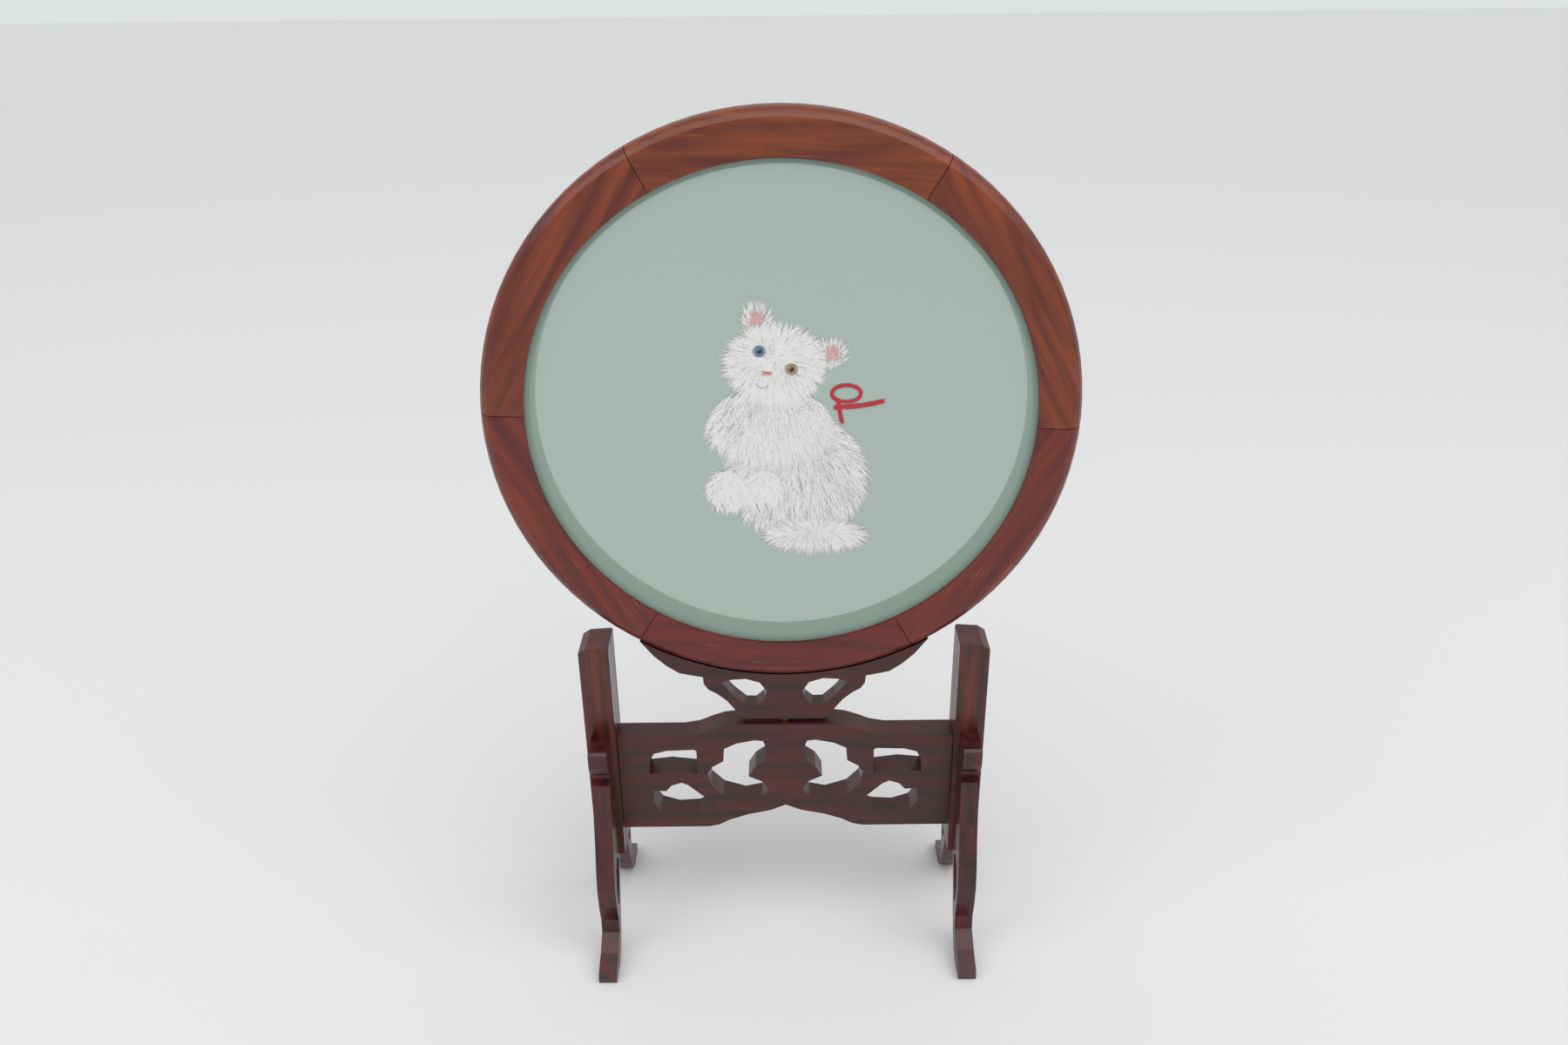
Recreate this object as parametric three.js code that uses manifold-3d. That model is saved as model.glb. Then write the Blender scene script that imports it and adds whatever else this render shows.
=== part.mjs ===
// Double-sided silk screen: a round table screen of embroidered silk in a turned hardwood ring,
// which swivels on a pin in a pierced crossbar between two posts on carved bracket feet.
// Millimetres, +Z up, the front looks towards -Y, and the origin is the middle of the feet.
import * as THREE from 'three';
import { mergeVertices } from 'three/addons/utils/BufferGeometryUtils.js';
import Module from 'manifold-3d';

const wasm = await Module();
wasm.setup();

// Driving dimensions
const clearance = 0.3;
const ringRadius = 105;
const ringFace = 15.7;
const ringDepth = 13;
const ringCentreZ = 228.5;
const ringEdgeRound = 5;
const ringSegments = 6;
const ringSteps = 96;
const firstSeamAngle = 58;
const seamGap = 0.3;
const lipThickness = 1.3;
const rebateWidth = 2;
const silkThickness = 0.4;
const hoopWidth = 3.6;
const hoopDepth = 4;
const tenonLength = 5;
const tenonWidth = 5;
const tenonThickness = 4;
const beadPinRadius = 0.6;
const beadPinLength = 8;
const beadPins = 4;

const cradleThickness = 7;
const cradleBottomZ = 102.5;
const cradleFootHalf = 16.5;
const cradleTipHalf = 55;
const cradleDowelX = 34;
const cradleDowelRadius = 1.5;
const cradleDowelLength = 9;

const pinRadius = 3;
const pinDepthInCrossbar = 24;
const pinDepthInCradle = 12;

const crossbarThickness = 10;
const platformZ = 101;
const crossbarShoulderZ = 95.3;
const crossbarBottomZ = 50.4;
const crossbarTenonThickness = 5;
const crossbarTenonLength = 7;
const crossbarTenonInset = 6;

const postWidth = 11.6;
const postDepth = 15;
const postCentreX = 72.5;
const postTopZ = 138.5;
const postShoulderZ = 136;
const postBottomZ = 38.7;

const bracketThickness = 7.2;
const bracketTopZ = 98;
const bracketShelf = 12;
const footReach = 40.5;
const bracketDowelRadius = 2;
const bracketDowelSink = 7;
const bracketDowelHeights = { upper: 93.5, lower: 49 };

// Sizes that follow from the driving ones
const innerRadius = ringRadius - ringFace;
const rebateRadius = innerRadius + rebateWidth;
const frontY = -ringDepth / 2;
const silkFrontY = frontY + lipThickness + clearance;
const hoopFrontY = silkFrontY + silkThickness + clearance;
const beadFrontY = hoopFrontY + hoopDepth + clearance;
const beadBackY = ringDepth / 2 - clearance;
const hoopOuter = rebateRadius - clearance;
const hoopInner = hoopOuter - hoopWidth;
const postInnerX = postCentreX - postWidth / 2;
const postFrontY = -postDepth / 2;
const seamStep = 360 / ringSegments;

// Wood and silk finishes
const ringWood = new THREE.MeshStandardMaterial({ color: 0x6f2f18, roughness: 0.38, metalness: 0 });
const standWood = new THREE.MeshStandardMaterial({ color: 0x3c0f12, roughness: 0.35, metalness: 0 });
const paleWood = new THREE.MeshStandardMaterial({ color: 0xa87f52, roughness: 0.7, metalness: 0 });
const silk = new THREE.MeshStandardMaterial({ color: 0x9bb2a5, roughness: 0.6, metalness: 0 });
const brass = new THREE.MeshStandardMaterial({ color: 0xa8874a, roughness: 0.4, metalness: 1 });

// A closed geometry as a solid, with its shared corners joined and its faces turned outwards
function solidOf(geometry) {
  const bare = geometry.clone();
  bare.deleteAttribute('normal');
  bare.deleteAttribute('uv');
  const merged = mergeVertices(bare, 1e-4);
  const corners = merged.index.array;
  const kept = [];
  for (let i = 0; i < corners.length; i += 3) {
    const [a, b, c] = [corners[i], corners[i + 1], corners[i + 2]];
    if (a !== b && b !== c && c !== a) kept.push(a, b, c);
  }
  const place = merged.attributes.position;
  let volume = 0;
  const [p, q, r] = [new THREE.Vector3(), new THREE.Vector3(), new THREE.Vector3()];
  for (let i = 0; i < kept.length; i += 3) {
    p.fromBufferAttribute(place, kept[i]);
    q.fromBufferAttribute(place, kept[i + 1]);
    r.fromBufferAttribute(place, kept[i + 2]);
    volume += p.dot(q.cross(r));
  }
  if (volume < 0) kept.reverse();
  const mesh = new wasm.Mesh({
    numProp: 3,
    vertProperties: Float32Array.from(place.array),
    triVerts: Uint32Array.from(kept),
  });
  return new wasm.Manifold(mesh);
}

const screen = new THREE.Group();
const stand = new THREE.Group();

function place(group, name, solid, material) {
  const cut = solid.getMesh();
  const geometry = new THREE.BufferGeometry();
  geometry.setAttribute('position', new THREE.BufferAttribute(Float32Array.from(cut.vertProperties), 3));
  geometry.setIndex(Array.from(cut.triVerts));
  geometry.computeVertexNormals();
  const mesh = new THREE.Mesh(geometry, material);
  mesh.name = name;
  group.add(mesh);
}

function block(width, depth, height, x, y, z) {
  return solidOf(new THREE.BoxGeometry(width, depth, height).translate(x, y, z));
}

// A round rod between two points
function rod(radius, from, to, sides = 16) {
  const along = to.clone().sub(from);
  const geometry = new THREE.CylinderGeometry(radius, radius, along.length(), sides);
  const turn = new THREE.Quaternion();
  turn.setFromUnitVectors(new THREE.Vector3(0, 1, 0), along.clone().normalize());
  geometry.applyQuaternion(turn);
  const middle = from.clone().add(to).multiplyScalar(0.5);
  return solidOf(geometry.translate(middle.x, middle.y, middle.z));
}

// A board sawn from an outline in x and z, centred on y = 0
function frontBoard(shape, thickness) {
  const geometry = new THREE.ExtrudeGeometry(shape, { depth: thickness, bevelEnabled: false, curveSegments: 3 });
  return solidOf(geometry.rotateX(Math.PI / 2).translate(0, thickness / 2, 0));
}

// A board sawn from an outline in y and z, centred on the given x
function sideBoard(shape, thickness, x) {
  const geometry = new THREE.ExtrudeGeometry(shape, { depth: thickness, bevelEnabled: false, curveSegments: 3 });
  const turn = new THREE.Matrix4().makeBasis(
    new THREE.Vector3(0, 1, 0), new THREE.Vector3(0, 0, 1), new THREE.Vector3(1, 0, 0));
  return solidOf(geometry.applyMatrix4(turn).translate(x - thickness / 2, 0, 0));
}

// A ring turned about the y axis through the middle of the disc
function turned(profile) {
  const closed = [...profile, profile[0]];
  return solidOf(new THREE.LatheGeometry(closed, ringSteps).translate(0, 0, ringCentreZ));
}

function point(x, y) {
  return new THREE.Vector2(x, y);
}

// A flat outline with its openings, each wound the way that the extrusion wants it
function pierced(outline, openings) {
  const { isClockWise } = THREE.ShapeUtils;
  const shape = new THREE.Shape(isClockWise(outline) ? [...outline].reverse() : outline);
  for (const opening of openings) {
    shape.holes.push(new THREE.Path(isClockWise(opening) ? opening : [...opening].reverse()));
  }
  return shape;
}

function mirrored(points) {
  return points.map((p) => point(-p.x, p.y));
}

function onRing(radius, degrees, y) {
  const turn = THREE.MathUtils.degToRad(degrees);
  return new THREE.Vector3(radius * Math.cos(turn), y, ringCentreZ + radius * Math.sin(turn));
}

// The ring: six sawn segments with a tenon at one end and a mortise at the other,
// with a round outer edge, a thin front lip and a rebate that is open at the back
const ringProfile = [point(innerRadius, frontY)];
for (let i = 0; i <= 4; i += 1) {
  const turn = (i / 4) * Math.PI / 2;
  const inset = ringEdgeRound;
  ringProfile.push(point(ringRadius - inset + inset * Math.sin(turn), frontY + inset - inset * Math.cos(turn)));
}
for (let i = 0; i <= 4; i += 1) {
  const turn = (i / 4) * Math.PI / 2;
  const inset = ringEdgeRound;
  ringProfile.push(point(ringRadius - inset + inset * Math.cos(turn), -frontY - inset + inset * Math.sin(turn)));
}
ringProfile.push(point(rebateRadius, -frontY));
ringProfile.push(point(rebateRadius, frontY + lipThickness));
ringProfile.push(point(innerRadius, frontY + lipThickness));
const wholeRing = turned(ringProfile);

// A wedge of the disc between two seams, used to saw out one segment
function wedge(fromDegrees, toDegrees) {
  const reach = ringRadius * 1.5;
  const gapTurn = THREE.MathUtils.radToDeg(seamGap / 2 / ringRadius);
  const shape = new THREE.Shape();
  shape.moveTo(0, ringCentreZ);
  for (const degrees of [fromDegrees + gapTurn, (fromDegrees + toDegrees) / 2, toDegrees - gapTurn]) {
    const corner = onRing(reach, degrees, 0);
    shape.lineTo(corner.x, corner.z);
  }
  return frontBoard(shape, ringDepth * 2);
}

// The tongue that crosses a seam, grown by a margin for its mortise
function tongue(degrees, margin) {
  const radius = (rebateRadius + ringRadius) / 2;
  const long = tenonLength * 2 + margin * 2;
  const geometry = new THREE.BoxGeometry(tenonWidth + margin * 2, tenonThickness + margin * 2, long);
  geometry.translate(radius, 0, 0);
  geometry.rotateY(-THREE.MathUtils.degToRad(degrees));
  return solidOf(geometry.translate(0, 0, ringCentreZ));
}

const pinCutters = [];
for (let i = 0; i < beadPins; i += 1) {
  const degrees = 45 + i * 360 / beadPins;
  const y = (beadFrontY + beadBackY) / 2;
  const from = onRing(hoopInner + clearance, degrees, y);
  const to = onRing(hoopInner + clearance + beadPinLength, degrees, y);
  place(screen, `bead_pin_${i + 1}`, rod(beadPinRadius, from, to, 10), brass);
  const start = onRing(hoopInner - 2, degrees, y);
  const end = onRing(hoopInner + beadPinLength + clearance * 2, degrees, y);
  pinCutters.push(rod(beadPinRadius + clearance, start, end, 10));
}

// Dowels that fix the cradle to the ring, square to the rim
const cradleDowelAngle = THREE.MathUtils.radToDeg(Math.asin(cradleDowelX / ringRadius));
const cradleDowelCutters = [];
for (const [name, sign] of [['left', -1], ['right', 1]]) {
  const degrees = 270 + sign * cradleDowelAngle;
  const inside = onRing(ringRadius - cradleDowelLength / 2, degrees, 0);
  const outside = onRing(ringRadius + cradleDowelLength / 2, degrees, 0);
  place(screen, `cradle_dowel_${name}`, rod(cradleDowelRadius, inside, outside), paleWood);
  const deep = onRing(ringRadius - cradleDowelLength / 2 - clearance, degrees, 0);
  const low = onRing(ringRadius + cradleDowelLength / 2 + clearance, degrees, 0);
  cradleDowelCutters.push(rod(cradleDowelRadius + clearance, deep, low));
}

for (let i = 0; i < ringSegments; i += 1) {
  const start = firstSeamAngle + i * seamStep;
  const end = start + seamStep;
  let segment = wholeRing.intersect(wedge(start, end));
  segment = segment.add(tongue(end, 0)).subtract(tongue(start, clearance));
  for (const cutter of [...pinCutters, ...cradleDowelCutters]) segment = segment.subtract(cutter);
  place(screen, `ring_segment_${i + 1}`, segment, ringWood);
}

// The silk, laced over a hoop in the rebate and held from behind by a bead
const silkProfile = [
  point(0, silkFrontY), point(hoopOuter, silkFrontY),
  point(hoopOuter, silkFrontY + silkThickness), point(0, silkFrontY + silkThickness),
];
const silkDisc = new THREE.LatheGeometry(silkProfile, ringSteps).translate(0, 0, ringCentreZ);
place(screen, 'silk_panel', solidOf(silkDisc), silk);

function bandProfile(front, back) {
  return [point(hoopInner, front), point(hoopOuter, front), point(hoopOuter, back), point(hoopInner, back)];
}
place(screen, 'stretcher_hoop', turned(bandProfile(hoopFrontY, hoopFrontY + hoopDepth)), standWood);
let bead = turned(bandProfile(beadFrontY, beadBackY));
for (const cutter of pinCutters) bead = bead.subtract(cutter);
place(screen, 'retaining_bead', bead, ringWood);

// The cradle: a pierced board sawn to the ring's curve above and stepped scrolls below
const cradleRadius = ringRadius + clearance;
const cradleTipZ = ringCentreZ - Math.sqrt(cradleRadius ** 2 - cradleTipHalf ** 2);
const cradleUnderside = [
  point(50, 132), point(45.3, 127.5), point(40.6, 124.2), point(35.2, 123), point(31.6, 122.3),
  point(31.3, 119), point(29.6, 116.5), point(26.3, 114.5), point(22.6, 111.2), point(18.7, 106),
  point(cradleFootHalf, 103.8),
];
const arcSteps = 24;
const arcTurn = Math.asin(cradleTipHalf / cradleRadius);
const cradleSeat = [];
for (let i = 1; i < arcSteps; i += 1) {
  const turn = -arcTurn + (2 * arcTurn * i) / arcSteps;
  // the chords of the arc stay outside the rim
  const radius = cradleRadius / Math.cos(arcTurn / arcSteps);
  cradleSeat.push(point(radius * Math.sin(turn), ringCentreZ - radius * Math.cos(turn)));
}
const cradleOutline = [
  point(cradleTipHalf, cradleTipZ), ...cradleUnderside, point(cradleFootHalf, cradleBottomZ),
  point(-cradleFootHalf, cradleBottomZ), ...mirrored(cradleUnderside).reverse(),
  point(-cradleTipHalf, cradleTipZ), ...cradleSeat,
];
const teardrop = [
  point(24.4, 119.7), point(20.8, 120.9), point(15, 121.3), point(9.6, 119.5), point(7, 115.6),
  point(8.2, 111.6), point(11.2, 108.9), point(15, 109), point(19.8, 113.6),
];
const cradleShape = pierced(cradleOutline, [teardrop, mirrored(teardrop)]);
let cradle = frontBoard(cradleShape, cradleThickness);
for (const cutter of cradleDowelCutters) cradle = cradle.subtract(cutter);

// The pin on which the whole screen turns, loose in the cradle and in the crossbar
const pinFoot = new THREE.Vector3(0, 0, platformZ - pinDepthInCrossbar);
const pinHead = new THREE.Vector3(0, 0, cradleBottomZ + pinDepthInCradle);
const pinBore = rod(
  pinRadius + clearance,
  new THREE.Vector3(0, 0, pinFoot.z - clearance), new THREE.Vector3(0, 0, pinHead.z + clearance), 24);
place(screen, 'pivot_pin', rod(pinRadius, pinFoot, pinHead, 24), brass);
place(screen, 'cradle', cradle.subtract(pinBore), standWood);

// The crossbar: a pierced board with a raised platform, a cusped lower edge and end tenons
const crossbarHalf = postInnerX - clearance / 2;
const crossbarTopSide = [
  point(40, crossbarShoulderZ), point(34, 96.4), point(29, 98.6), point(24, 100.4), point(19.6, platformZ),
];
const crossbarLowSide = [
  point(2.2, 60.2), point(6.4, 58.4), point(15.6, 56.4), point(22.8, 53.8), point(27.4, 51.3),
  point(31.5, crossbarBottomZ),
];
const cuspZ = 61.2;
const crossbarOutline = [
  point(crossbarHalf, crossbarBottomZ), point(crossbarHalf, crossbarShoulderZ), ...crossbarTopSide,
  ...mirrored(crossbarTopSide).reverse(), point(-crossbarHalf, crossbarShoulderZ),
  point(-crossbarHalf, crossbarBottomZ), ...mirrored(crossbarLowSide).reverse(),
  point(0, cuspZ), ...crossbarLowSide,
];
const slotHole = [
  point(35.4, 77), point(35.4, 88.4), point(36.6, 89), point(47.5, 88.6), point(52.4, 87.2),
  point(54.2, 84), point(54.6, 77.4), point(46, 78.4),
];
const leafHole = [
  point(53, 69), point(48.4, 68.6), point(46, 71.4), point(42, 72.8), point(39.4, 71.6),
  point(27.6, 60.4), point(35.6, 56.8), point(44, 56.2), point(50.8, 58.6), point(54, 63.4),
];
const scrollHole = [
  point(24.4, 89.2), point(19.4, 91.8), point(12.2, 93.3), point(8.8, 92.9), point(8, 91),
  point(8, 83.4), point(12, 80.4), point(14.8, 75.6), point(9, 72.8), point(6.9, 68.7),
  point(10, 64.6), point(16.4, 63.2), point(25.2, 66.2), point(30, 71.4), point(31.2, 77.4),
  point(29.4, 80.4), point(24.8, 83.2),
];
const openings = [slotHole, leafHole, scrollHole];
const crossbarShape = pierced(crossbarOutline, [...openings, ...openings.map(mirrored)]);
let crossbar = frontBoard(crossbarShape, crossbarThickness);
const tenonHeight = crossbarShoulderZ - crossbarBottomZ - crossbarTenonInset * 2;
const tenonMiddleZ = (crossbarShoulderZ + crossbarBottomZ) / 2;
const crossbarTenonReach = crossbarHalf + crossbarTenonLength;
crossbar = crossbar.add(
  block(crossbarTenonReach * 2, crossbarTenonThickness, tenonHeight, 0, 0, tenonMiddleZ)
    .subtract(block(crossbarHalf * 2 - 2, crossbarThickness * 2, tenonHeight * 2, 0, 0, tenonMiddleZ)));
place(stand, 'crossbar', crossbar.subtract(pinBore), standWood);

// Posts with a sloped top, mortised for the crossbar, and their two pairs of bracket feet
const mortise = block(
  (crossbarTenonReach + clearance) * 2, crossbarTenonThickness + clearance * 2,
  tenonHeight + clearance * 2, 0, 0, tenonMiddleZ);

// Half of a side view: the stepped head, the S of the leg and the toe, in y and z
function bracketShape(direction) {
  const seat = -postFrontY;
  const shelfY = seat + bracketShelf;
  const outline = [
    point(seat, bracketTopZ), point(shelfY - 1, bracketTopZ), point(shelfY, bracketTopZ - 1),
    point(shelfY, 91), point(shelfY - 1.4, 88), point(shelfY - 4, 85), point(shelfY - 4.4, 81.6),
    point(shelfY - 2, 81.2), point(shelfY - 1.6, 79), point(shelfY - 0.8, 68), point(shelfY + 2, 55),
    point(shelfY + 5.4, 44), point(shelfY + 6.8, 35), point(shelfY + 6, 26), point(shelfY + 4.2, 18),
    point(shelfY + 5, 12), point(footReach - 9, 7.4), point(footReach - 2, 4.6), point(footReach, 2.4),
    point(footReach - 0.6, 0), point(footReach - 11, 0), point(footReach - 16, 2.6), point(20, 9),
    point(16.4, 18), point(13, 28), point(seat, postBottomZ),
  ];
  const slot = [
    point(11.4, 40), point(15, 43), point(19.4, 40), point(21.6, 32), point(21, 24), point(19, 22.4),
    point(16.4, 30), point(13.4, 36),
  ];
  const facing = (points) => points.map((p) => point(p.x * direction, p.y));
  return pierced(facing(outline), [facing(slot)]);
}

for (const [side, sign] of [['left', -1], ['right', 1]]) {
  const x = sign * postCentreX;
  const postShape = new THREE.Shape([
    point(-postWidth / 2, postBottomZ), point(postWidth / 2, postBottomZ),
    point(postWidth / 2, postTopZ - 0.6), point(postWidth / 2 - 0.6, postTopZ),
    point(-postWidth / 4, postTopZ - 0.6), point(-postWidth / 2, postShoulderZ),
  ].map((p) => point(x + p.x * -sign, p.y)));
  let post = frontBoard(postShape, postDepth).subtract(mortise);
  const cutters = [];
  for (const [level, z] of Object.entries(bracketDowelHeights)) {
    const half = postDepth / 2 + bracketDowelSink;
    const near = new THREE.Vector3(x, -half, z);
    const far = new THREE.Vector3(x, half, z);
    place(stand, `${side}_${level}_dowel`, rod(bracketDowelRadius, near, far), paleWood);
    near.y -= clearance;
    far.y += clearance;
    cutters.push(rod(bracketDowelRadius + clearance, near, far));
  }
  for (const cutter of cutters) post = post.subtract(cutter);
  place(stand, `${side}_post`, post, standWood);
  for (const [end, direction] of [['front', -1], ['back', 1]]) {
    let bracket = sideBoard(bracketShape(direction), bracketThickness, x);
    for (const cutter of cutters) bracket = bracket.subtract(cutter);
    place(stand, `${side}_${end}_foot`, bracket, standWood);
  }
}

const silkScreen = new THREE.Group();
silkScreen.add(stand, screen);

export default silkScreen;
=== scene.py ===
import bpy
import math
import random
from mathutils import Euler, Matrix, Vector


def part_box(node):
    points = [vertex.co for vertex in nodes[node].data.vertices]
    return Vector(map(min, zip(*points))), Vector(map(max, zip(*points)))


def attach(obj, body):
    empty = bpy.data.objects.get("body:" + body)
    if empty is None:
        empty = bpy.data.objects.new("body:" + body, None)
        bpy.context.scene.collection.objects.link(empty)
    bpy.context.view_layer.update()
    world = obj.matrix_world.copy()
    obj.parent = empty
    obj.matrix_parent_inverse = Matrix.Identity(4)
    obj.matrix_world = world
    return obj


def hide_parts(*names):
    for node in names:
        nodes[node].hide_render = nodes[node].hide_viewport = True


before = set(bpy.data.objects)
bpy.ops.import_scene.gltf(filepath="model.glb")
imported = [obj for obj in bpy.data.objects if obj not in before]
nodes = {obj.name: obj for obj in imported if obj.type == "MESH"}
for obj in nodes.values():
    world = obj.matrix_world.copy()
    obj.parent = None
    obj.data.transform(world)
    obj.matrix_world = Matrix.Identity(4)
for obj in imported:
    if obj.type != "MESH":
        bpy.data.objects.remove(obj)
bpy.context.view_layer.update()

# The camera stands where the photograph was taken from: about 40 cm in front of the screen,
# a little above its top, looking down, with a wide lens and a very small roll.
CAMERA_PLACE = Vector((0.0005, -0.402, 0.383))
CAMERA_DOWN = math.radians(26)
CAMERA_ROLL = math.radians(-0.6)
SENSOR_WIDTH_MM = 36
FOCAL_PIXELS = 1400
IMAGE_WIDTH = 1800
camera_data = bpy.data.cameras.new("photo_camera")
camera_data.sensor_width = SENSOR_WIDTH_MM
camera_data.lens = SENSOR_WIDTH_MM * FOCAL_PIXELS / IMAGE_WIDTH
camera = bpy.data.objects.new("photo_camera", camera_data)
camera.location = CAMERA_PLACE
camera.rotation_mode = "QUATERNION"
camera_tilt = Euler((math.pi / 2 - CAMERA_DOWN, 0, 0)).to_quaternion()
camera_roll = Euler((0, 0, CAMERA_ROLL)).to_quaternion()
camera.rotation_quaternion = camera_tilt @ camera_roll
bpy.context.collection.objects.link(camera)
bpy.context.scene.camera = camera
bpy.context.scene.view_settings.view_transform = "Standard"

# The surface under the feet: wide, plain and pale, so that it takes the object's shadow.
# It belongs to the setting and is no part of the object.
FLOOR_HALF = 6.0
FLOOR_COLOUR = (0.78, 0.78, 0.78, 1)
FLOOR_ROUGHNESS = 0.7


def finish_of(name):
    """A new material, with its nodes, its links and its shader."""
    material = bpy.data.materials.new(name)
    material.use_nodes = True
    tree = material.node_tree
    return material, tree.nodes, tree.links, tree.nodes["Principled BSDF"]


def piece_from(name, points, faces, materials):
    """A new mesh piece in the scene, in metres, with its materials in order."""
    mesh = bpy.data.meshes.new(name)
    mesh.from_pydata(points, [], faces)
    for material in materials:
        mesh.materials.append(material)
    piece = bpy.data.objects.new(name, mesh)
    bpy.context.collection.objects.link(piece)
    return piece


floor_paint, _, _, shader = finish_of("pale_table")
shader.inputs["Base Color"].default_value = FLOOR_COLOUR
shader.inputs["Roughness"].default_value = FLOOR_ROUGHNESS
floor_corners = [(-FLOOR_HALF, -FLOOR_HALF, 0), (FLOOR_HALF, -FLOOR_HALF, 0),
                 (FLOOR_HALF, FLOOR_HALF, 0), (-FLOOR_HALF, FLOOR_HALF, 0)]
floor = piece_from("table_top", floor_corners, [(0, 1, 2, 3)], [floor_paint])

# The light: an even pale room, a broad sun from above that keeps the floor evenly lit, and
# two soft boxes. The camera alone sees the backdrop's own colour behind the object.
ROOM_COLOUR = (0.93, 0.94, 0.95, 1)
ROOM_STRENGTH = 0.62
BACKDROP_COLOUR = (0.74, 0.76, 0.77, 1)
SUN_STRENGTH = 1.1
SUN_SPREAD = math.radians(60)
SUN_TURN = (math.radians(25), math.radians(10), 0)
LIT_POINT = Vector((0, 0, 0.2))
# each soft box: its name, its place, its size in metres and its power in watts
SOFT_BOXES = (
    ("left_softbox", Vector((-0.9, -0.5, 1.1)), 0.8, 3),
    ("right_softbox", Vector((0.9, -0.2, 1.0)), 0.7, 2),
)
world = bpy.data.worlds.new("studio")
bpy.context.scene.world = world
world.use_nodes = True
world_nodes = world.node_tree.nodes
world_links = world.node_tree.links
room = world_nodes["Background"]
room.inputs["Color"].default_value = ROOM_COLOUR
room.inputs["Strength"].default_value = ROOM_STRENGTH
backdrop = world_nodes.new("ShaderNodeBackground")
backdrop.inputs["Color"].default_value = BACKDROP_COLOUR
rays = world_nodes.new("ShaderNodeLightPath")
seen = world_nodes.new("ShaderNodeMixShader")
world_links.new(rays.outputs["Is Camera Ray"], seen.inputs[0])
world_links.new(room.outputs[0], seen.inputs[1])
world_links.new(backdrop.outputs[0], seen.inputs[2])
world_links.new(seen.outputs[0], world_nodes["World Output"].inputs["Surface"])
sun_data = bpy.data.lights.new("even_light", "SUN")
sun_data.energy = SUN_STRENGTH
sun_data.angle = SUN_SPREAD
sun = bpy.data.objects.new("even_light", sun_data)
sun.rotation_euler = SUN_TURN
bpy.context.collection.objects.link(sun)
for box_name, box_place, box_size, box_power in SOFT_BOXES:
    box_data = bpy.data.lights.new(box_name, "AREA")
    box_data.size = box_size
    box_data.energy = box_power
    soft_box = bpy.data.objects.new(box_name, box_data)
    soft_box.location = box_place
    soft_box.rotation_euler = (LIT_POINT - box_place).to_track_quat("-Z", "Y").to_euler()
    bpy.context.collection.objects.link(soft_box)

# The ring: six segments sawn from red hardwood and tenoned end to end, so the grain runs
# straight in each and turns at every seam. Its colour is orange brown at the top, darker and
# redder towards its foot, and its lacquer is open in the pores.
SEGMENTS = 6
FIRST_SEAM = 58
SEAM_STEP = 60
RING_DARK = (0.11, 0.014, 0.003)
RING_LIGHT = (0.27, 0.05, 0.007)
# how much of each colour is lost from the ring's top to its foot
RING_DARK_LOSS = (0.03, 0.01, 0)
RING_LIGHT_LOSS = (0.11, 0.04, 0)
RING_WORN = (0.42, 0.17, 0.07)
RING_WEAR = 0.55
GRAIN = {"along": 0.08, "scale": 260, "detail": 4, "low": 0.35, "high": 0.68}
PORES = {"along": 0.05, "scale": 1400, "detail": 2, "low": 0.6, "high": 0.72}
PATCHES = {"along": 1, "scale": 45, "detail": 5, "low": 0.5, "high": 0.75}
SMOOTHEST = 0.28
ROUGHEST = 0.46
PORE_BUMP = 0.25
PORE_DEPTH = 0.0002
COAT_WEIGHT = 0.12
COAT_ROUGHNESS = 0.2
# the sockets of a colour mix
MIX_SHARE = 0
MIX_FIRST = 6
MIX_SECOND = 7
MIX_RESULT = 2


def colour_mix(tree):
    """A new node that mixes two colours."""
    mix = tree.new("ShaderNodeMix")
    mix.data_type = "RGBA"
    return mix


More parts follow.
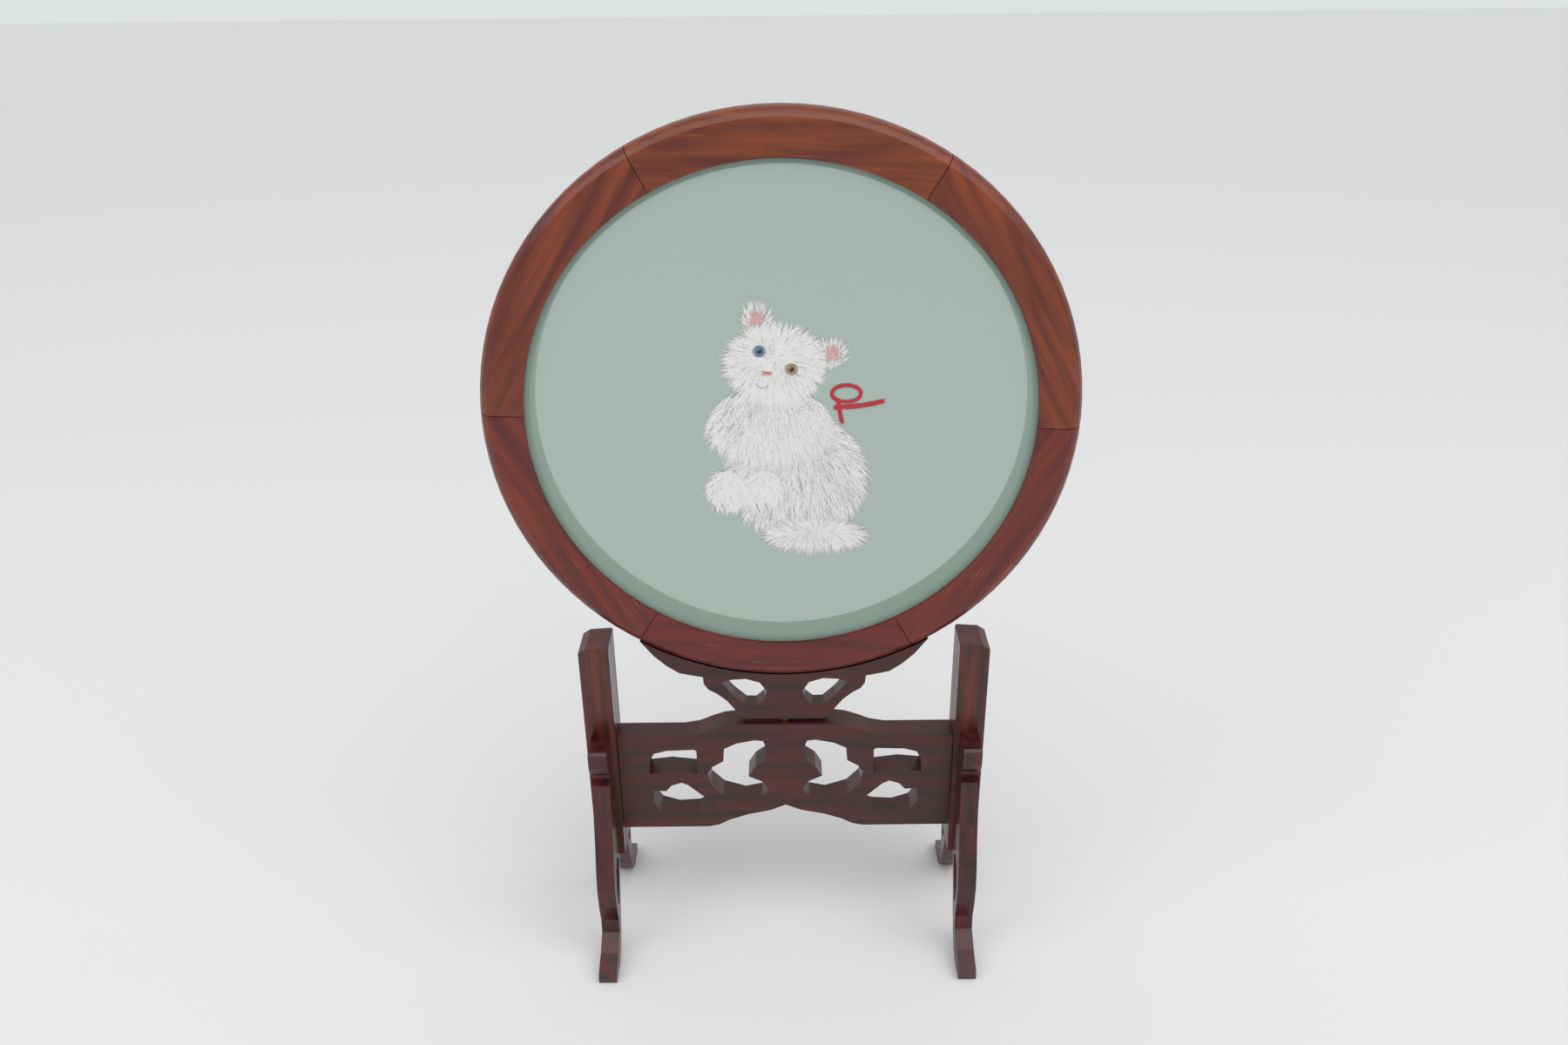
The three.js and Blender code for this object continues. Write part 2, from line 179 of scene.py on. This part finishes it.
def wood_group():
    """Grain, open pores and patchy wear, which every piece of wood shares."""
    group = bpy.data.node_groups.new("lacquered_grain", "ShaderNodeTree")
    sockets = (("Place", "INPUT", "Vector"), ("Dark", "INPUT", "Color"), ("Light", "INPUT", "Color"),
               ("Worn", "INPUT", "Color"), ("Wear", "INPUT", "Float"), ("Color", "OUTPUT", "Color"),
               ("Height", "OUTPUT", "Float"), ("Roughness", "OUTPUT", "Float"))
    for socket_name, way, kind in sockets:
        group.interface.new_socket(socket_name, in_out=way, socket_type=f"NodeSocket{kind}")
    tree, link = group.nodes, group.links
    enter = tree.new("NodeGroupInput")
    leave = tree.new("NodeGroupOutput")

    def streaks(along, scale, detail, low, high):
        """Noise drawn out along the grain, from 0 at its low value to 1 at its high one."""
        mapping = tree.new("ShaderNodeMapping")
        mapping.inputs["Scale"].default_value = (along, 1, 1)
        noise = tree.new("ShaderNodeTexNoise")
        noise.inputs["Scale"].default_value = scale
        noise.inputs["Detail"].default_value = detail
        steps = tree.new("ShaderNodeMapRange")
        steps.inputs["From Min"].default_value = low
        steps.inputs["From Max"].default_value = high
        link.new(enter.outputs["Place"], mapping.inputs["Vector"])
        link.new(mapping.outputs["Vector"], noise.inputs["Vector"])
        link.new(noise.outputs["Fac"], steps.inputs["Value"])
        return steps.outputs["Result"]

    def product(first, second):
        times = tree.new("ShaderNodeMath")
        times.operation = "MULTIPLY"
        link.new(first, times.inputs[0])
        link.new(second, times.inputs[1])
        return times.outputs[0]

    broad = streaks(**GRAIN)
    pores = streaks(**PORES)
    patches = streaks(**PATCHES)
    rubbed = product(product(pores, enter.outputs["Wear"]), patches)
    grain = colour_mix(tree)
    link.new(broad, grain.inputs[MIX_SHARE])
    link.new(enter.outputs["Dark"], grain.inputs[MIX_FIRST])
    link.new(enter.outputs["Light"], grain.inputs[MIX_SECOND])
    worn = colour_mix(tree)
    link.new(rubbed, worn.inputs[MIX_SHARE])
    link.new(grain.outputs[MIX_RESULT], worn.inputs[MIX_FIRST])
    link.new(enter.outputs["Worn"], worn.inputs[MIX_SECOND])
    rough = tree.new("ShaderNodeMapRange")
    rough.inputs["To Min"].default_value = SMOOTHEST
    rough.inputs["To Max"].default_value = ROUGHEST
    link.new(broad, rough.inputs["Value"])
    link.new(worn.outputs[MIX_RESULT], leave.inputs["Color"])
    link.new(pores, leave.inputs["Height"])
    link.new(rough.outputs["Result"], leave.inputs["Roughness"])
    return group


LACQUERED_GRAIN = wood_group()


def wood(name, turn, dark, light, worn, wear):
    """Finished wood whose grain is turned about the y axis by the given angle."""
    material, tree, link, shader = finish_of(name)
    coordinates = tree.new("ShaderNodeTexCoord")
    mapping = tree.new("ShaderNodeMapping")
    mapping.inputs["Rotation"].default_value = (0, turn, 0)
    group = tree.new("ShaderNodeGroup")
    group.node_tree = LACQUERED_GRAIN
    group.inputs["Dark"].default_value = (*dark, 1)
    group.inputs["Light"].default_value = (*light, 1)
    group.inputs["Worn"].default_value = (*worn, 1)
    group.inputs["Wear"].default_value = wear
    bump = tree.new("ShaderNodeBump")
    bump.inputs["Strength"].default_value = PORE_BUMP
    bump.inputs["Distance"].default_value = PORE_DEPTH
    bump.invert = True
    shader.inputs["Coat Weight"].default_value = COAT_WEIGHT
    shader.inputs["Coat Roughness"].default_value = COAT_ROUGHNESS
    link.new(coordinates.outputs["Object"], mapping.inputs["Vector"])
    link.new(mapping.outputs["Vector"], group.inputs["Place"])
    link.new(group.outputs["Color"], shader.inputs["Base Color"])
    link.new(group.outputs["Roughness"], shader.inputs["Roughness"])
    link.new(group.outputs["Height"], bump.inputs["Height"])
    link.new(bump.outputs["Normal"], shader.inputs["Normal"])
    return material


def dress(node, material):
    """Gives a solid of the frame its finish."""
    slots = nodes[node].data.materials
    slots.clear()
    slots.append(material)


def deepened(colour, loss, low):
    """The ring's colour at a share of the way down it, darker and redder towards its foot."""
    return tuple(value - drop * low for value, drop in zip(colour, loss))


for i in range(SEGMENTS):
    middle_turn = math.radians(FIRST_SEAM + SEAM_STEP * (i + 0.5))
    low = 0.5 - 0.5 * math.sin(middle_turn)
    ring_dark = deepened(RING_DARK, RING_DARK_LOSS, low)
    ring_light = deepened(RING_LIGHT, RING_LIGHT_LOSS, low)
    grain_turn = middle_turn + math.pi / 2
    ring_wood = wood(f"ring_wood_{i + 1}", grain_turn, ring_dark, ring_light, RING_WORN, RING_WEAR)
    dress(f"ring_segment_{i + 1}", ring_wood)

# The bead and the hoop: two thin strips of the same wood, bent round inside the ring's rebate.
# The silk is laced to the hoop, and the bead holds both in from the back.
STRIP_WEAR = 0.3
# The bead's and the hoop's grain and wear colours carry painted shade of the rebate, so they are far darker
# than the ring's, the hoop's behind the silk darkest; the wear itself is real.
SHADED_BEAD_DARK = (0.05, 0.01, 0.006)
SHADED_BEAD_LIGHT = (0.1, 0.02, 0.01)
SHADED_BEAD_WORN = (0.3, 0.1, 0.05)
SHADED_HOOP_DARK = (0.02, 0.005, 0.004)
SHADED_HOOP_LIGHT = (0.05, 0.01, 0.007)
SHADED_HOOP_WORN = (0.2, 0.08, 0.05)
# Both strips' finishes carry the painted shade of the rebate in their colours.
dress("retaining_bead", wood("bead_wood_painted_shade", 0, SHADED_BEAD_DARK, SHADED_BEAD_LIGHT, SHADED_BEAD_WORN, STRIP_WEAR))
dress("stretcher_hoop", wood("hoop_wood_painted_shade", 0, SHADED_HOOP_DARK, SHADED_HOOP_LIGHT, SHADED_HOOP_WORN, STRIP_WEAR))

# The pins: four small ones through the bead into the ring, and the stout one that the screen
# turns on. All are drawn brass, unevenly tarnished.
BEAD_PINS = 4
TARNISH_SCALE = 900
BRASS_DARK = (0.22, 0.12, 0.04, 1)
BRASS_BRIGHT = (0.5, 0.32, 0.11, 1)
BRASS_ROUGHNESS = 0.35
brass, tree, link, shader = finish_of("aged_brass")
tarnish = tree.new("ShaderNodeTexNoise")
tarnish.inputs["Scale"].default_value = TARNISH_SCALE
tone = tree.new("ShaderNodeValToRGB")
tone.color_ramp.elements[0].color = BRASS_DARK
tone.color_ramp.elements[1].color = BRASS_BRIGHT
link.new(tarnish.outputs["Fac"], tone.inputs["Fac"])
link.new(tone.outputs["Color"], shader.inputs["Base Color"])
shader.inputs["Metallic"].default_value = 1
shader.inputs["Roughness"].default_value = BRASS_ROUGHNESS
dress("pivot_pin", brass)
for i in range(BEAD_PINS):
    dress(f"bead_pin_{i + 1}", brass)

# The silk: one sheet of sheer celadon gauze, laced tight over the hoop. The inside of the ring
# shows through its edge.
SILK_RINGS = 24
SILK_SPOKES = 144
SILK_DEEP = (0.30, 0.42, 0.36, 1)
SILK_PALE = (0.31, 0.43, 0.36, 1)
SILK_COVER = 0.8
SILK_ROUGHNESS = 0.5
THREAD_SCALE = 900
THREAD_WANDER = 1.2
WEAVE_BUMP = 0.15
WEAVE_DEPTH = 0.0001
MOTTLE_SCALE = 22
MOTTLE_DETAIL = 8
silk_low, silk_high = (Vector(corner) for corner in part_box("silk_panel"))
silk_middle = (silk_low + silk_high) / 2
silk_radius = (silk_high.x - silk_low.x) / 2
points = [silk_middle.copy()]
faces = []
for ring in range(1, SILK_RINGS + 1):
    for spoke in range(SILK_SPOKES):
        turn = 2 * math.pi * spoke / SILK_SPOKES
        reach = silk_radius * ring / SILK_RINGS
        points.append(silk_middle + Vector((reach * math.cos(turn), 0, reach * math.sin(turn))))
for spoke in range(SILK_SPOKES):
    after = (spoke + 1) % SILK_SPOKES
    faces.append((0, 1 + after, 1 + spoke))
    for ring in range(SILK_RINGS - 1):
        here = 1 + ring * SILK_SPOKES
        beyond = here + SILK_SPOKES
        faces.append((here + spoke, here + after, beyond + after, beyond + spoke))
gauze_finish, tree, link, shader = finish_of("celadon_gauze")
coordinates = tree.new("ShaderNodeTexCoord")
weave = tree.new("ShaderNodeMath")
weave.operation = "ADD"
for i, direction in enumerate(("X", "Z")):
    threads = tree.new("ShaderNodeTexWave")
    threads.bands_direction = direction
    threads.inputs["Scale"].default_value = THREAD_SCALE
    threads.inputs["Distortion"].default_value = THREAD_WANDER
    link.new(coordinates.outputs["Object"], threads.inputs["Vector"])
    link.new(threads.outputs["Fac"], weave.inputs[i])
mottle = tree.new("ShaderNodeTexNoise")
mottle.inputs["Scale"].default_value = MOTTLE_SCALE
mottle.inputs["Detail"].default_value = MOTTLE_DETAIL
shade = colour_mix(tree)
shade.inputs[MIX_FIRST].default_value = SILK_DEEP
shade.inputs[MIX_SECOND].default_value = SILK_PALE
bump = tree.new("ShaderNodeBump")
bump.inputs["Strength"].default_value = WEAVE_BUMP
bump.inputs["Distance"].default_value = WEAVE_DEPTH
link.new(coordinates.outputs["Object"], mottle.inputs["Vector"])
link.new(mottle.outputs["Fac"], shade.inputs[MIX_SHARE])
link.new(shade.outputs[MIX_RESULT], shader.inputs["Base Color"])
link.new(weave.outputs[0], bump.inputs["Height"])
link.new(bump.outputs["Normal"], shader.inputs["Normal"])
shader.inputs["Roughness"].default_value = SILK_ROUGHNESS
shader.inputs["Alpha"].default_value = SILK_COVER
gauze = piece_from("silk_gauze", points, faces, [gauze_finish])
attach(gauze, "screen")
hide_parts("silk_panel")

# The embroidery: a white long-haired kitten in split silk, worked alike on both faces. Each
# stitch is a fine flat strand that follows the fall of the fur, in millimetres on the silk.
FLOSS_SCALE = 700
FLOSS_SHADE = 0.8
FLOSS_ROUGHNESS = 0.42
FLOSS_SHEEN = 0.4
FLOSS = {
    "white_floss": (0.93, 0.92, 0.9), "grey_floss": (0.66, 0.66, 0.64), "pink_floss": (0.78, 0.42, 0.38),
    "coral_floss": (0.6, 0.16, 0.1), "crimson_floss": (0.55, 0.01, 0.03), "blue_floss": (0.1, 0.22, 0.38),
    "amber_floss": (0.4, 0.26, 0.12), "black_floss": (0.015, 0.012, 0.012), "brown_floss": (0.2, 0.09, 0.04),
}
FLOSS_ORDER = list(FLOSS)
MM = 0.001
LAYER_STEP = 0.000015
LIFT_SPREAD = 0.9
CROSSWISE = 1.57
FUR_LAYER_SPREAD = 1
FUR_SWAY = 0.3
FUR_LENGTHS = (0.6, 1.2)
FUR_WIDTHS = (0.16, 0.3)
# each patch of fur: its middle, its half sizes, how many strands and how long, how far they
# fall, the layer they start on, and the share of grey ones
FUR_PATCHES = {
    "tail": (12, 184, 18, 6, 1900, 7, 0.2, 4.5, 0.3),
    "back": (5, 207, 25, 24, 5200, 8, 0.9, 0, 0.3),
    "left_paw": (-20, 202, 7, 8, 1100, 5, 0.9, 2.5, 0.1),
    "right_paw": (-7, 202, 7, 8, 1100, 5, 0.9, 2.5, 0.1),
    "chest": (-4, 226, 22, 15, 2800, 8, 1.3, 3.5, 0.15),
    "left_ear": (-8, 265, 5, 6, 300, 4, -1.2, 3, 0.2),
    "right_ear": (17, 253, 6, 5, 300, 4, -1.0, 3, 0.2),
    "head": (-2, 249, 17, 14, 3800, 6, 0.2, 5, 0.1),
}
# a feature's strand: its length, its width, its floss and its layer
EAR_LINING_STRAND = (3, 0.25, "pink_floss", 7)
EAR_LINING_PLACES = ((-8, 266), (17.5, 253))
EAR_LINING_COUNT = 70
EAR_LINING_SIDEWAYS = (-2, 2)
EAR_LINING_UPWARD = (-2.5, 2)
EAR_LINING_ANGLES = (1, 2)
BOW_LOOP_STRAND = (1.8, 0.5, "crimson_floss", 7)
BOW_LOOP_MIDDLE = (22.5, 238.5)
BOW_LOOP_HALF = (5, 3)
BOW_LOOP_COUNT = 500
BOW_LOOP_SPREAD = 0.5
LONG_RIBBON_STRAND = (2.5, 0.5, "crimson_floss", 7.5)
LONG_RIBBON_START = (19, 233.5)
LONG_RIBBON_RUN = (16, 2)
LONG_RIBBON_ANGLE = 0.1
SHORT_RIBBON_STRAND = (2, 0.3, "crimson_floss", 7.5)
SHORT_RIBBON_START = (19.5, 236)
SHORT_RIBBON_RUN = (1.5, -8)
SHORT_RIBBON_ANGLE = 1.8
RIBBON_COUNT = 240
RIBBON_SPREAD = 0.7
EYES = ((-7.3, 254, "blue_floss"), (3.6, 247.5, "amber_floss"))
IRIS_COUNT = 90
IRIS_RADIUS = 1.3
IRIS_LENGTH = 1.4
IRIS_WIDTH = 0.2
IRIS_LAYER = 8
PUPIL_STRAND = (0.9, 0.2, "black_floss", 9)
PUPIL_COUNT = 50
PUPIL_RADIUS = 0.5
LID_STRAND = (0.8, 0.2, "black_floss", 8.5)
LID_HALF = (2.2, 2.0)
GLINT_STRAND = (0.5, 0.5, "white_floss", 10)
GLINT_SHIFT = (-0.4, 0.5)
NOSE_STRAND = (1.2, 0.25, "coral_floss", 8)
NOSE_MIDDLE = (-4.9, 246.2)
NOSE_COUNT = 60
NOSE_SIDEWAYS = (-1.3, 1.3)
NOSE_UPWARD = (-0.8, 0.7)
MOUTH_STRAND = (0.6, 0.2, "brown_floss", 8)
MOUTH_MIDDLE = (-6.4, 242.5)
MOUTH_HALF = (2, 1.6)
MOUTH_COUNT = 24
WHISKER_STRAND = (15, 0.12, "white_floss", 9)
WHISKER_COUNT = 7
# whiskers of either side: where the lowest one stands, the step up to the next one, the
# lowest one's angle and the turn to the next one
WHISKER_SIDES = ((-10, 244, 0.7, math.pi + 0.3, -0.12), (0, 242, 0.6, -0.5, 0.1))
CLAW_STRAND = (0.6, 0.3, "brown_floss", 6)
CLAW_PLACES = (-25, -21.8, -9.5, -6.1)
CLAW_TOP = 197
CLAW_COUNT = 10
CLAW_STEP = (0.12, -0.35)
CLAW_ANGLE = -1.2
floss_finishes = []
for floss_name, colour in FLOSS.items():
    floss_finish, tree, link, shader = finish_of(floss_name)
    noise = tree.new("ShaderNodeTexNoise")
    noise.inputs["Scale"].default_value = FLOSS_SCALE
    tint = colour_mix(tree)
    tint.inputs[MIX_FIRST].default_value = (*(value * FLOSS_SHADE for value in colour), 1)
    tint.inputs[MIX_SECOND].default_value = (*colour, 1)
    link.new(noise.outputs["Fac"], tint.inputs[MIX_SHARE])
    link.new(tint.outputs[MIX_RESULT], shader.inputs["Base Color"])
    shader.inputs["Roughness"].default_value = FLOSS_ROUGHNESS
    shader.inputs["Sheen Weight"].default_value = FLOSS_SHEEN
    floss_finishes.append(floss_finish)
random.seed(11)
stitches = []


def stitch(x, z, angle, length, width, floss, layer):
    """One strand, lifted a hair by chance so that no two lie in the same plane."""
    lift = layer + random.uniform(0, LIFT_SPREAD)
    stitches.append((x, z, angle, length, width, FLOSS_ORDER.index(floss), lift))


def fur(x, z, wide, high, count, length, fall, layer, grey):
    """Strands over an oval, each pointing out from its middle and down by the fall."""
    for _ in range(count):
        turn = random.uniform(0, 2 * math.pi)
        reach = math.sqrt(random.random())
        place_x = x + wide * reach * math.cos(turn)
        place_z = z + high * reach * math.sin(turn)
        out = Vector((math.cos(turn) * reach, math.sin(turn) * reach - fall))
        angle = math.atan2(out.y, out.x) + random.uniform(-FUR_SWAY, FUR_SWAY)
        floss = "grey_floss" if random.random() < grey else "white_floss"
        strand = length * random.uniform(*FUR_LENGTHS)
        width = random.uniform(*FUR_WIDTHS)
        fur_layer = layer + random.uniform(0, FUR_LAYER_SPREAD)
        stitch(place_x, place_z, angle, strand, width, floss, fur_layer)


for patch in FUR_PATCHES.values():
    fur(*patch)
for lining_x, lining_z in EAR_LINING_PLACES:
    for _ in range(EAR_LINING_COUNT):
        x = lining_x + random.uniform(*EAR_LINING_SIDEWAYS)
        z = lining_z + random.uniform(*EAR_LINING_UPWARD)
        stitch(x, z, random.uniform(*EAR_LINING_ANGLES), *EAR_LINING_STRAND)
for _ in range(BOW_LOOP_COUNT):
    turn = random.uniform(0, 2 * math.pi)
    step = random.uniform(-BOW_LOOP_SPREAD, BOW_LOOP_SPREAD)
    x = BOW_LOOP_MIDDLE[0] + (BOW_LOOP_HALF[0] + step) * math.cos(turn)
    z = BOW_LOOP_MIDDLE[1] + (BOW_LOOP_HALF[1] + step) * math.sin(turn)
    stitch(x, z, turn + CROSSWISE, *BOW_LOOP_STRAND)
for _ in range(RIBBON_COUNT):
    share = random.random()
    step = random.uniform(-RIBBON_SPREAD, RIBBON_SPREAD)
    x = LONG_RIBBON_START[0] + LONG_RIBBON_RUN[0] * share
    z = LONG_RIBBON_START[1] + LONG_RIBBON_RUN[1] * share ** 2 + step
    stitch(x, z, LONG_RIBBON_ANGLE, *LONG_RIBBON_STRAND)
    x = SHORT_RIBBON_START[0] + SHORT_RIBBON_RUN[0] * share + step
    z = SHORT_RIBBON_START[1] + SHORT_RIBBON_RUN[1] * share
    stitch(x, z, SHORT_RIBBON_ANGLE, *SHORT_RIBBON_STRAND)
for eye_x, eye_z, iris_floss in EYES:
    for i in range(IRIS_COUNT):
        turn = 2 * math.pi * i / IRIS_COUNT
        x = eye_x + IRIS_RADIUS * math.cos(turn)
        z = eye_z + IRIS_RADIUS * math.sin(turn)
        stitch(x, z, turn, IRIS_LENGTH, IRIS_WIDTH, iris_floss, IRIS_LAYER)
    for i in range(PUPIL_COUNT):
        turn = 2 * math.pi * i / PUPIL_COUNT
        x = eye_x + PUPIL_RADIUS * math.cos(turn)
        z = eye_z + PUPIL_RADIUS * math.sin(turn)
        stitch(x, z, turn, *PUPIL_STRAND)
        x = eye_x + LID_HALF[0] * math.cos(turn)
        z = eye_z + LID_HALF[1] * math.sin(turn)
        stitch(x, z, turn + CROSSWISE, *LID_STRAND)
    stitch(eye_x + GLINT_SHIFT[0], eye_z + GLINT_SHIFT[1], 0, *GLINT_STRAND)
for _ in range(NOSE_COUNT):
    x = NOSE_MIDDLE[0] + random.uniform(*NOSE_SIDEWAYS)
    z = NOSE_MIDDLE[1] + random.uniform(*NOSE_UPWARD)
    stitch(x, z, 0, *NOSE_STRAND)
for i in range(MOUTH_COUNT):
    turn = math.pi + math.pi * i / MOUTH_COUNT
    x = MOUTH_MIDDLE[0] + MOUTH_HALF[0] * math.cos(turn)
    z = MOUTH_MIDDLE[1] + MOUTH_HALF[1] * math.sin(turn)
    stitch(x, z, turn + CROSSWISE, *MOUTH_STRAND)
for i in range(WHISKER_COUNT):
    for root_x, root_z, rise, first_angle, fan in WHISKER_SIDES:
        stitch(root_x, root_z + i * rise, first_angle + i * fan, *WHISKER_STRAND)
for claw_x in CLAW_PLACES:
    for i in range(CLAW_COUNT):
        stitch(claw_x + i * CLAW_STEP[0], CLAW_TOP + i * CLAW_STEP[1], CLAW_ANGLE, *CLAW_STRAND)
for side, face_y, out in (("front", silk_low.y, -1), ("back", silk_high.y, 1)):
    points = []
    faces = []
    floss_numbers = []
    for x, z, angle, length, width, floss_number, lift in stitches:
        along = Vector((math.cos(angle), 0, math.sin(angle))) * length * MM / 2
        across = Vector((-math.sin(angle), 0, math.cos(angle))) * width * MM / 2
        middle = Vector((x * MM, face_y + out * lift * LAYER_STEP, z * MM))
        first = len(points)
        points += [middle - along, middle - across, middle + along, middle + across]
        order = (first, first + 1, first + 2, first + 3)
        faces.append(order if out < 0 else order[::-1])
        floss_numbers.append(floss_number)
    kitten = piece_from(f"kitten_{side}", points, faces, floss_finishes)
    kitten.data.polygons.foreach_set("material_index", floss_numbers)
    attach(kitten, "screen")

# The cradle and the crossbar: two pierced boards of the same hardwood under a dark maroon
# lacquer, with the grain along them. One is pegged under the ring, the other is tenoned
# into the posts.
MAROON = (0.02, 0.003, 0.0035)
RED = (0.085, 0.006, 0.006)
RUBBED = (0.35, 0.1, 0.05)
BOARD_WEAR = 0.35
level_board = wood("level_board", 0, MAROON, RED, RUBBED, BOARD_WEAR)
dress("cradle", level_board)
dress("crossbar", level_board)

# The posts: two straight uprights of the same hardwood, mortised for the crossbar's tenons. Their
# lacquer is rubbed through to orange.
POST_DARK = (0.035, 0.005, 0.004)
POST_LIGHT = (0.13, 0.02, 0.01)
POST_WEAR = 0.7
UPRIGHT = math.pi / 2
rubbed_post = wood("rubbed_post", UPRIGHT, POST_DARK, POST_LIGHT, RUBBED, POST_WEAR)
for side in ("left", "right"):
    dress(f"{side}_post", rubbed_post)

# The feet: four carved brackets, sawn from upright boards in the maroon lacquer, and pegged
# to the front and the back of each post.
FOOT_WEAR = 0.4
foot_board = wood("upright_board", UPRIGHT, MAROON, RED, RUBBED, FOOT_WEAR)
for side in ("left", "right"):
    for end in ("front", "back"):
        dress(f"{side}_{end}_foot", foot_board)

# The dowels: round pegs of a paler wood, two between the ring and the cradle, and two through
# each post into its feet.
PEG_DARK = (0.3, 0.16, 0.07)
PEG_LIGHT = (0.45, 0.27, 0.13)
PEG_WORN = (0.5, 0.35, 0.2)
PEG_WEAR = 0.2
peg = wood("peg_wood", 0, PEG_DARK, PEG_LIGHT, PEG_WORN, PEG_WEAR)
for side in ("left", "right"):
    dress(f"cradle_dowel_{side}", peg)
    for height in ("upper", "lower"):
        dress(f"{side}_{height}_dowel", peg)
